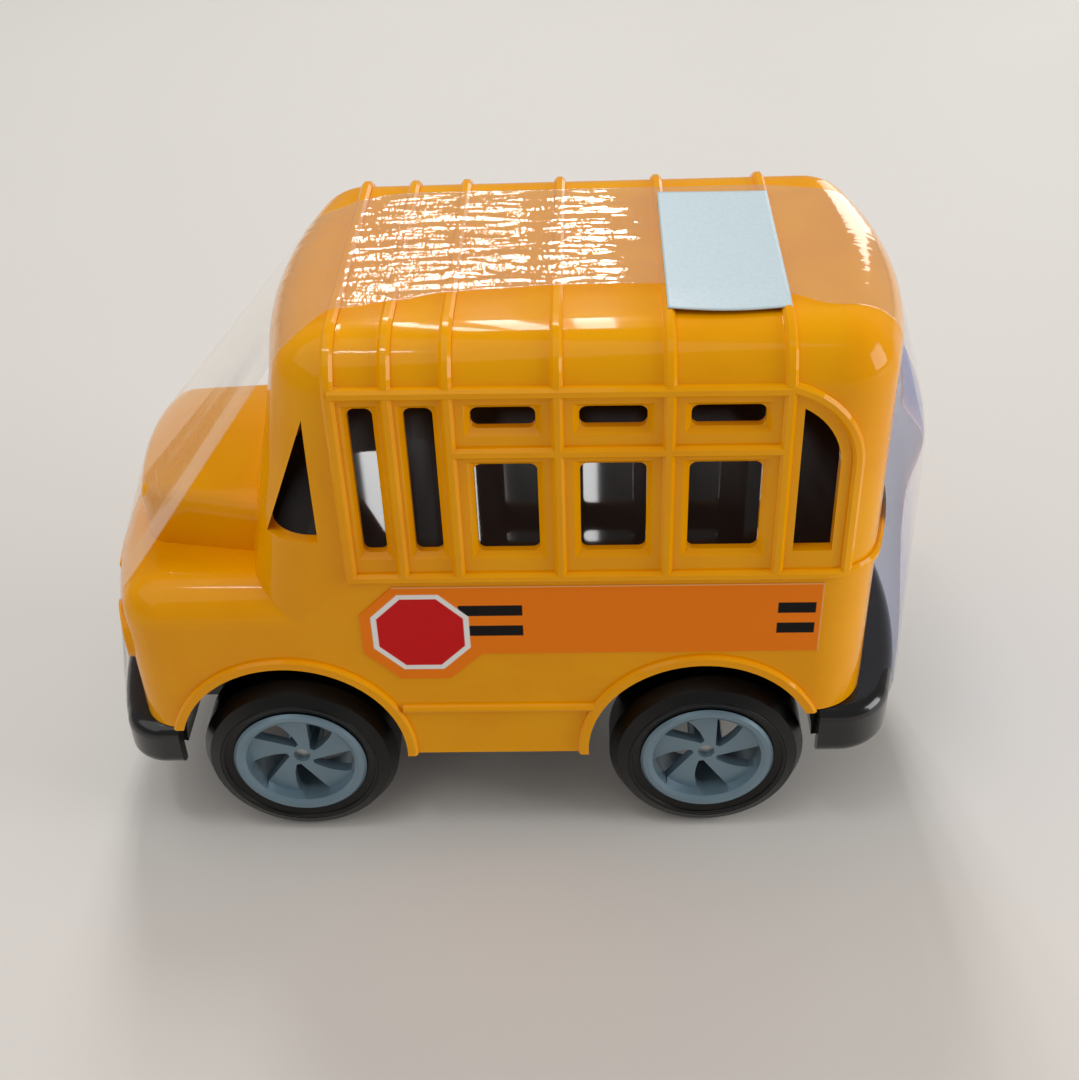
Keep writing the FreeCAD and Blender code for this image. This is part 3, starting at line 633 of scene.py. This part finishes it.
def paper(name, colour, rough, through):
    """Paper: nearly even, with a faint fibre and a soft surface, and some light through it."""
    material, tree, place = new_material(name)
    fibres = add(
        tree,
        "ShaderNodeTexNoise",
        {"Vector": place, "Scale": per_metre(FIBRES), "Detail": 6.0, "Roughness": 0.7},
    )
    tone = add(
        tree,
        "ShaderNodeValToRGB",
        {"Fac": fibres.outputs["Fac"]},
        stops=((0.25, darker(colour, 0.9)), (0.6, colour)),
    )
    bump = add(
        tree,
        "ShaderNodeBump",
        {"Height": fibres.outputs["Fac"], "Strength": 0.2, "Distance": FIBRE_HEIGHT},
    )
    shader = add(
        tree,
        "ShaderNodeBsdfPrincipled",
        {
            "Base Color": tone.outputs["Color"],
            "Roughness": rough,
            "Normal": bump.outputs["Normal"],
            "Subsurface Weight": through,
            "Subsurface Radius": (1.0, 1.0, 1.0),
            "Subsurface Scale": LIGHT_REACH,
        },
    )
    finish_material(tree, shader.outputs["BSDF"])
    return material


# How strongly the film is creased along the bus, as (millimetres forward, share): most in
# the three bands that shine, and little between them
CREASED = (
    (-34.0, 0.1),
    (-30.0, 0.3),
    (-15.0, 0.25),
    (-9.5, 1.0),
    (-5.0, 0.2),
    (-0.8, 1.0),
    (3.8, 0.2),
    (8.0, 1.0),
    (12.5, 0.4),
    (17.0, 0.12),
)
# The table is read over this many millimetres each way from the middle
CREASED_REACH = 50
# Spacing of the film's fine pleats and of the shorter lines that cross them, in millimetres.
# The pleats are stretched along the bus, and the lines a little across it
PLEATS, CROSS_LINES = 1.35, 0.9
PLEAT_STRETCH, LINE_STRETCH = (0.24, 1.0, 0.24), (1.0, 0.4, 1.0)
# The lines come in between these places along the bus
CROSSED_FROM, CROSSED_TO = -9 * MM, 1 * MM
CREASE_HEIGHT = 0.45 * MM


def clear_film(name, colour):
    """Polypropylene film: most light goes straight through, a little mirrors or scatters."""
    material, tree, place = new_material(name)
    along = add(tree, "ShaderNodeMapping", {"Vector": place, "Scale": PLEAT_STRETCH})
    across = add(tree, "ShaderNodeMapping", {"Vector": place, "Scale": LINE_STRETCH})
    pleats = add(
        tree,
        "ShaderNodeTexNoise",
        {
            "Vector": along.outputs["Vector"],
            "Scale": per_metre(PLEATS),
            "Detail": 1.5,
            "Distortion": 0.3,
        },
    )
    lines = add(
        tree,
        "ShaderNodeTexNoise",
        {
            "Vector": across.outputs["Vector"],
            "Scale": per_metre(CROSS_LINES),
            "Detail": 1.0,
            "Distortion": 1.0,
        },
    )
    axes = add(tree, "ShaderNodeSeparateXYZ", {"Vector": place})
    ahead = add(
        tree,
        "ShaderNodeMapRange",
        {
            "Value": axes.outputs["X"],
            "From Min": CROSSED_FROM,
            "From Max": CROSSED_TO,
            "To Min": 0.05,
            "To Max": 0.5,
        },
    )
    crossed = add(
        tree,
        "ShaderNodeMath",
        {0: lines.outputs["Fac"], 1: ahead.outputs["Result"]},
        operation="MULTIPLY",
    )
    height = add(
        tree,
        "ShaderNodeMath",
        {0: pleats.outputs["Fac"], 1: crossed.outputs["Value"]},
        operation="ADD",
    )
    place_along = add(
        tree,
        "ShaderNodeMapRange",
        {
            "Value": axes.outputs["X"],
            "From Min": -CREASED_REACH * MM,
            "From Max": CREASED_REACH * MM,
        },
    )
    creased = add(
        tree,
        "ShaderNodeValToRGB",
        {"Fac": place_along.outputs["Result"]},
        stops=[
            ((at + CREASED_REACH) / (2 * CREASED_REACH), (share,) * 3) for at, share in CREASED
        ],
    )
    bump = add(
        tree,
        "ShaderNodeBump",
        {
            "Height": height.outputs["Value"],
            "Strength": creased.outputs["Color"],
            "Distance": CREASE_HEIGHT,
        },
    )
    facing = add(tree, "ShaderNodeLayerWeight", {"Blend": 0.3, "Normal": bump.outputs["Normal"]})
    solid_share = add(
        tree,
        "ShaderNodeMapRange",
        {"Value": facing.outputs["Facing"], "To Min": 0.04, "To Max": 0.34},
    )
    glint = add(
        tree,
        "ShaderNodeBsdfPrincipled",
        {
            "Base Color": opaque(colour),
            "Roughness": 0.05,
            "Metallic": 0.75,
            "Normal": bump.outputs["Normal"],
        },
    )
    through = add(tree, "ShaderNodeBsdfTransparent")
    mixed = add(
        tree,
        "ShaderNodeMixShader",
        {0: solid_share.outputs["Result"], 1: through.outputs["BSDF"], 2: glint.outputs["BSDF"]},
    )
    finish_material(tree, mixed.outputs["Shader"])
    return material


# Film and paper
def add_piece(name, shape, thickness, material, body):
    """Turns a bmesh into a piece of the bus that rides with a body, and a sheet gets its gauge."""
    bmesh.ops.recalc_face_normals(shape, faces=shape.faces)
    mesh = bpy.data.meshes.new(name)
    shape.to_mesh(mesh)
    shape.free()
    mesh.materials.append(material)
    mesh.shade_smooth()
    piece = bpy.data.objects.new(name, mesh)
    bpy.context.scene.collection.objects.link(piece)
    if thickness:
        gauge = piece.modifiers.new("gauge", "SOLIDIFY")
        gauge.thickness = thickness
        gauge.offset = 0.0
    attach(piece, body)
    return piece


def laid_grid(along, across, place):
    """A grid of faces whose every point is put in place from its two shares, each from 0 to 1."""
    shape = bmesh.new()
    bmesh.ops.create_grid(shape, x_segments=along, y_segments=across, size=0.5)
    for vert in shape.verts:
        vert.co = place(vert.co.x + 0.5, vert.co.y + 0.5)
    return shape


def solid_tree(*node_names):
    """The surfaces of some CAD nodes, to cast rays at."""
    shape = bmesh.new()
    for node_name in node_names:
        shape.from_mesh(NODES[node_name].data)
    tree = BVHTree.FromBMesh(shape)
    shape.free()
    return tree


# How many rays go down along the whole bus, and level at each bumper over its height. A level
# ray counts where it hits no deeper than the bumper's end
ROOF_RAYS, BUMPER_RAYS = 260, 40
BUMPER_TALL, BUMPER_DEEP = 12 * MM, 5 * MM


def outline_at(solids, y):
    """Points on the bus's outside at one place across it, as (x, z)."""
    front, rear = BASE_HIGH.x, BASE_LOW.x
    seen = []
    for i in range(ROOF_RAYS + 1):
        x = front + (rear - front) * i / ROOF_RAYS
        hit = solids.ray_cast(Vector((x, y, 1.0)), Vector((0, 0, -1)))[0]
        if hit is not None:
            seen.append((x, hit.z))
    for side, reach in ((1, front), (-1, -rear)):
        for i in range(BUMPER_RAYS):
            z = BASE_LOW.z + BUMPER_TALL * i / (BUMPER_RAYS - 1)
            hit = solids.ray_cast(Vector((side, y, z)), Vector((-side, 0, 0)))[0]
            if hit is not None and side * hit.x > reach - BUMPER_DEEP:
                seen.append((hit.x, hit.z))
    return seen


def turn(a, b, c):
    """Above 0 where the way from a over b to c turns left."""
    return (b[0] - a[0]) * (c[1] - a[1]) - (b[1] - a[1]) * (c[0] - a[0])


def chain(points):
    """One side of the tightest loop round some sorted points."""
    kept = []
    for point in points:
        while len(kept) > 1 and turn(kept[-2], kept[-1], point) <= 0:
            kept.pop()
        kept.append(point)
    return kept


# The slip's line from its head to its foot on the bumper, in millimetres: (up, back from the
# cabin's rear face)
SLIP_LINE = ((57.5, 0.5), (51.9, 3.5), (44.7, 2.4), (20.5, 4.12), (16.0, 4.15))
SLIP_HALF, SLIP_FOOT, SLIP_HEAD = 13.4 * MM, 16.5 * MM, 57.2 * MM
# Twice the radius that the cabin's rear face is bowed to
REAR_ROUND = 119 * MM
# The belt's bead stands proud of the cabin's rear face
REAR_FACE = SHELL_LOW.x + 0.6 * MM
# The film lies this far behind the slip, and this far past its sides before it turns forward
FILM_OFF_SLIP, FILM_PAST_SLIP = 0.1 * MM, 2 * MM
SLIP_POINTS = 40


def slip_at(y, z):
    """A point of the slip, which keeps to the round of the cabin's rear face."""
    return Vector((REAR_FACE + y * y / REAR_ROUND - read(SLIP_LINE, z / MM) * MM, y, z))


def taut_line(solids, y):
    """The film's tight line over the bus and the slip, from one bumper's foot to the other's."""
    seen = outline_at(solids, y)
    if abs(y) < SLIP_HALF + FILM_PAST_SLIP:
        beside = min(max(y, -SLIP_HALF), SLIP_HALF)
        for i in range(SLIP_POINTS + 1):
            point = slip_at(beside, SLIP_FOOT + (SLIP_HEAD - SLIP_FOOT) * i / SLIP_POINTS)
            seen.append((point.x - FILM_OFF_SLIP, point.z))
    seen = sorted(seen)
    under = chain(seen)
    over = chain(seen[::-1])
    foot = [point for point in under if point[0] > 0]
    heel = [point for point in under if point[0] < 0]
    return foot + over[1:-1] + heel


def evenly(line, count):
    """A line's points spaced evenly along it."""
    runs = [math.dist(a, b) for a, b in zip(line, line[1:])]
    total = sum(runs)
    spaced, run, start = [], 0, 0.0
    for i in range(count + 1):
        want = total * i / count
        while run < len(runs) - 1 and start + runs[run] < want:
            start += runs[run]
            run += 1
        share = min(1.0, (want - start) / max(runs[run], 1e-9))
        a, b = line[run], line[run + 1]
        spaced.append((a[0] + (b[0] - a[0]) * share, a[1] + (b[1] - a[1]) * share))
    return spaced


def read(table, at):
    """The value of a table of (place, value) rows, eased from row to row. Its places fall."""
    if at >= table[0][0]:
        return table[0][1]
    for (x0, v0), (x1, v1) in zip(table, table[1:]):
        if at >= x1:
            share = (x0 - at) / (x0 - x1)
            share = share * share * (3 - 2 * share)
            return v0 + (v1 - v0) * share
    return table[-1][1]


def share_past(value, start, width):
    """How far a value is past a start, as a share of a width, from 0 to 1."""
    return min(max((value - start) / width, 0.0), 1.0)


def soft_noise(x, y, z):
    """Smooth noise from 0 to 1, with its features about 1 apart."""
    return 0.5 + 0.5 * noise.noise(Vector((x, y, z)))


# Where the film's edges run, in millimetres: (forward, to the left)
NEAR_EDGE = (
    (48.4, 17.0),
    (42.0, 17.4),
    (21.0, 17.0),
    (15.5, 14.0),
    (9.2, 12.7),
    (4.2, 11.3),
    (-7.6, 10.1),
    (-17.8, 10.3),
    (-30.9, 13.0),
    (-35.6, 14.6),
    (-48.4, 13.0),
)
FAR_EDGE = ((48.4, -10.2), (21.0, -10.6), (10.0, -13.3), (-48.4, -13.3))
# Faces of the film along the bus and across it
ALONG, ACROSS = 300, 110
# Its taut line is worked out at so many stations between these two places across the bus, and
# its flat length is measured at the one by the bus's middle
STATIONS, CENTRE_STATION = 15, 6
FAR_STATION, NEAR_STATION = -15.0 * MM, 18.0 * MM
# Its outside points away from this height over the bus's middle
INSIDE_HEIGHT = 30 * MM


class TOYBUS_OT_film(Operator):
    """Wraps the clear film band over the bus, from bumper to bumper"""

    bl_idname = "toybus.film"
    bl_label = "Clear film"

    def execute(self, context):
        chosen = settings(context)
        sizes = chosen.film_sizes
        solids = solid_tree("body_shell", "chassis_base")
        spread = NEAR_STATION - FAR_STATION
        lines = [
            evenly(taut_line(solids, FAR_STATION + spread * k / (STATIONS - 1)), ALONG)
            for k in range(STATIONS)
        ]

        def on_bus(row, y):
            """The taut film's (x, z) at one point along it and one place across it."""
            station = share_past(y, FAR_STATION, spread) * (STATIONS - 1)
            k = min(int(station), STATIONS - 2)
            share = station - k
            a, b = lines[k][row], lines[k + 1][row]
            return Vector((a[0] + (b[0] - a[0]) * share, 0, a[1] + (b[1] - a[1]) * share))

        def place(u, v):
            """A point of the film, with its creases."""
            row = round((1 - u) * ALONG)
            middle = lines[STATIONS // 2][row][0] / MM
            far, near = read(FAR_EDGE, middle) * MM, read(NEAR_EDGE, middle) * MM
            y = far + (near - far) * v
            here = on_bus(row, y)
            ahead = on_bus(min(row + 2, ALONG), y) - on_bus(max(row - 2, 0), y)
            out = Vector((ahead.z, 0, -ahead.x)).normalized()
            if out.dot(here - Vector((0, 0, INSIDE_HEIGHT))) < 0:
                out.negate()
            here.y = y
            return here + out * (sizes.lift + creases(here, sizes))

        shape = laid_grid(ALONG, ACROSS, place)
        material = clear_film("clear polypropylene film", chosen.colours.film)
        film = add_piece("clear_band", shape, sizes.thickness, material, "bus")
        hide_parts("film_band")
        centre = lines[CENTRE_STATION]
        length = sum(math.dist(a, b) for a, b in zip(centre, centre[1:]))
        return {"FINISHED"}


# Where creases start up the roof's round, where puckers join them along the bus, and over how
# many millimetres each grows. Beside the label, which is smooth, they grow over the last one
ROOF_ROUND, ROOF_BLEND = 64.0, 4.0
PUCKERS_FROM, PUCKERS_BLEND = -6.0, 10.0
LABEL_BLEND = 1.5
# What is left of the creases behind the label, where the film is smooth
BEHIND_LABEL = 0.12
CREASE_GAIN = 1.6


def creases(here, sizes):
    """How far the film stands off at a point: pleats and puckers on the roof, ripples elsewhere.

    Each place is divided by the spacing of a pattern in millimetres. A lone last number picks
    a slice of the noise, so that no two patterns are alike.
    """
    x, y, z = here / MM
    on_roof = share_past(z, ROOF_ROUND, ROOF_BLEND)
    patch = soft_noise(x / 9.0, y / 7.0, 3.0)
    drift = 0.9 * noise.noise(Vector((x / 7.0, y / 5.0, 11.0)))
    pleats = soft_noise(x / 9.0, y / (sizes.pleat_pitch / MM) + drift, 5.0)
    puckers = soft_noise(x / 1.8, y / 1.3, 8.0)
    ripples = soft_noise(x / 20.0, y / 4.0, z / 20.0)
    forward = share_past(x, PUCKERS_FROM, PUCKERS_BLEND)
    roof = sizes.pleat * pleats * patch * CREASE_GAIN
    roof += sizes.pucker * puckers * forward * patch * CREASE_GAIN
    beside = max(LABEL_LOW.x / MM - x, x - LABEL_HIGH.x / MM)
    free = share_past(beside, 0.0, LABEL_BLEND) * (1.0 if x > LABEL_LOW.x / MM else BEHIND_LABEL)
    return free * on_roof * roof + (1 - on_roof) * 0.5 * sizes.pleat * ripples


# Faces of the paper pieces: the label's along and across the bus, the slip's up and across
LABEL_FACES, SLIP_FACES = (36, 72), (48, 36)
# The label's near corners are drawn back this far
CORNERS_BACK = 0.6 * MM


class TOYBUS_OT_label(Operator):
    """Lays the blank paper label over two ribs of the roof"""

    bl_idname = "toybus.label"
    bl_label = "Roof label"

    def execute(self, context):
        chosen = settings(context)
        sizes = chosen.paper_sizes
        shoulder = LABEL_HIGH.y - sizes.label_drape

        def place(u, v):
            """A point of the label: it sags between its ribs and bends down at its near edge."""
            x = LABEL_LOW.x + (LABEL_HIGH.x - LABEL_LOW.x) * u
            y = LABEL_LOW.y + (LABEL_HIGH.y - LABEL_LOW.y) * v
            between = math.sin(math.pi * u)
            past = max(0.0, (y - shoulder) / (LABEL_HIGH.y - shoulder))
            y += CORNERS_BACK * (between - 1) * past
            z = LABEL_LOW.z - sizes.label_sag * between - sizes.label_curl * past**2
            return Vector((x, y, z))

        shape = laid_grid(*LABEL_FACES, place)
        # Coated paper: smooth and opaque, with a low sheen
        material = paper("coated label paper", chosen.colours.label, rough=0.38, through=0.0)
        label = add_piece("paper_label", shape, sizes.thickness, material, "bus")
        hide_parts("roof_label")
        return {"FINISHED"}


class TOYBUS_OT_slip(Operator):
    """Hangs the blank paper slip behind the cabin"""

    bl_idname = "toybus.slip"
    bl_label = "Rear slip"

    def execute(self, context):
        chosen = settings(context)
        sizes = chosen.paper_sizes

        def place(u, v):
            """A point of the slip at its shares up it and across it."""
            return slip_at(SLIP_HALF * (2 * v - 1), SLIP_FOOT + (SLIP_HEAD - SLIP_FOOT) * u)

        shape = laid_grid(*SLIP_FACES, place)
        # Thin uncoated paper: matt, and light glows through it
        material = paper("uncoated slip paper", chosen.colours.slip, rough=0.6, through=0.8)
        slip = add_piece("paper_slip", shape, sizes.thickness, material, "bus")
        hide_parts("rear_tag")
        return {"FINISHED"}


class TOYBUS_OT_stage(Operator):
    """Makes the floor, the lamps, the pale surround and the camera"""

    bl_idname = "toybus.stage"
    bl_label = "Studio"

    def execute(self, context):
        chosen = settings(context)
        make_floor(chosen)
        make_lamps(chosen)
        make_camera(context.scene)
        context.scene.view_settings.view_transform = "Standard"
        return {"FINISHED"}


# The floor's paint is mottled in patches this many millimetres wide
FLOOR_MOTTLE = 40.0


def make_floor(chosen):
    """A wide plain floor."""
    shape = bmesh.new()
    bmesh.ops.create_grid(shape, x_segments=1, y_segments=1, size=chosen.stage_sizes.floor / 2)
    mesh = bpy.data.meshes.new("studio_floor")
    shape.to_mesh(mesh)
    shape.free()
    floor = bpy.data.objects.new("studio_floor", mesh)
    bpy.context.scene.collection.objects.link(floor)
    material, tree, place = new_material("painted board, matt")
    mottle = add(
        tree,
        "ShaderNodeTexNoise",
        {"Vector": place, "Scale": per_metre(FLOOR_MOTTLE), "Detail": 3.0},
    )
    roughness = add(
        tree, "ShaderNodeMapRange", {"Value": mottle.outputs["Fac"], "To Min": 0.55, "To Max": 0.7}
    )
    shader = add(
        tree,
        "ShaderNodeBsdfPrincipled",
        {"Base Color": opaque(chosen.colours.floor), "Roughness": roughness.outputs["Result"]},
    )
    finish_material(tree, shader.outputs["BSDF"])
    mesh.materials.append(material)


# Each lamp: its place, its width and height, and which of the brightnesses it has, with its
# share of it. The windows and the strip mirror in the film, the roof and its round edges
LAMPS = (
    ("window_front", (0.087, -0.43, 0.53), (0.018, 0.38), "windows", 1.0),
    ("window_middle", (0.042, -0.43, 0.53), (0.026, 0.38), "windows", 1.0),
    ("window_rear", (-0.002, -0.43, 0.53), (0.022, 0.38), "windows", 1.0),
    ("back_window", (-0.27, -0.61, 0.16), (0.13, 0.3), "windows", 0.12),
    ("rear_window", (-0.55, 0.1, 0.2), (0.3, 0.3), "windows", 0.27),
    ("strip", (0.17, 0.15, 0.76), (0.18, 0.016), "windows", 2.0),
    ("soft_box", (0.36, 0.2, 0.72), (0.9, 0.9), "fill", 1.0),
)


def make_lamps(chosen):
    """The tall window lamps and the strip that mirror in the bus, a soft box and the surround."""
    sizes = chosen.stage_sizes
    target = (SOLID_BOX[0] + SOLID_BOX[1]) / 2
    for name, place, (across, along), kind, share in LAMPS:
        lamp = bpy.data.lights.new(name, "AREA")
        lamp.shape = "RECTANGLE"
        lamp.size = across
        lamp.size_y = along
        lamp.energy = getattr(sizes, kind) * share * math.pi * across * along
        holder = bpy.data.objects.new(name, lamp)
        bpy.context.scene.collection.objects.link(holder)
        holder.location = place
        holder.rotation_euler = (target - Vector(place)).to_track_quat("-Z", "Y").to_euler()
    world = bpy.data.worlds.new("pale_surround")
    bpy.context.scene.world = world
    world.use_nodes = True
    back = world.node_tree.nodes["Background"]
    back.inputs["Color"].default_value = opaque(chosen.colours.surround)
    back.inputs["Strength"].default_value = sizes.sky


# The photograph's viewing angle: the eye, its pitch below the horizon, its heading, its roll
EYE = Vector((-10.70, 148.05, 141.64)) * MM
PITCH, HEADING, ROLL = math.radians(37.344), math.radians(180.639), math.radians(-1.009)
# Width of the sensor and focal length, in millimetres, and the shift that frames the photograph
SENSOR, LENS, SHIFT = 36.0, 49.72, -0.0375
NEAREST = 0.005


def make_camera(scene):
    """A camera at the photograph's viewing angle."""
    lens = bpy.data.cameras.new("camera")
    lens.sensor_fit = "HORIZONTAL"
    lens.sensor_width = SENSOR
    lens.lens = LENS
    lens.shift_x = SHIFT
    lens.clip_start = NEAREST
    camera = bpy.data.objects.new("camera", lens)
    scene.collection.objects.link(camera)
    camera.matrix_world = (
        Matrix.Translation(EYE)
        @ Matrix.Rotation(HEADING, 4, "Z")
        @ Matrix.Rotation(math.pi / 2 - PITCH, 4, "X")
        @ Matrix.Rotation(ROLL, 4, "Z")
    )
    scene.camera = camera


PROPERTY_GROUPS = (BusColours, PrintSizes, FilmSizes, PaperSizes, StageSizes, ToyBusSettings)
OPERATORS = (
    TOYBUS_OT_stage,
    TOYBUS_OT_body,
    TOYBUS_OT_base,
    TOYBUS_OT_wheels,
    TOYBUS_OT_sticker,
    TOYBUS_OT_film,
    TOYBUS_OT_label,
    TOYBUS_OT_slip,
)


class TOYBUS_PT_panel(Panel):
    """Lists the steps that dress the bus"""

    bl_idname = "TOYBUS_PT_panel"
    bl_label = "Toy Bus"
    bl_space_type = "VIEW_3D"
    bl_region_type = "UI"
    bl_category = "Toy Bus"

    def draw(self, context):
        for operator in OPERATORS:
            self.layout.operator(operator.bl_idname)


def register():
    """Makes the settings, the operators and the panel known to Blender."""
    for cls in (*PROPERTY_GROUPS, *OPERATORS, TOYBUS_PT_panel):
        bpy.utils.register_class(cls)
    bpy.types.Scene.toy_bus = PointerProperty(type=ToyBusSettings)


def unregister():
    """Takes them out again."""
    del bpy.types.Scene.toy_bus
    for cls in reversed((*PROPERTY_GROUPS, *OPERATORS, TOYBUS_PT_panel)):
        bpy.utils.unregister_class(cls)


def main():
    """Dresses the bus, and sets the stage."""
    register()
    for operator in OPERATORS:
        group, name = operator.bl_idname.split(".")
        getattr(getattr(bpy.ops, group), name)()


if __name__ == "__main__":
    main()
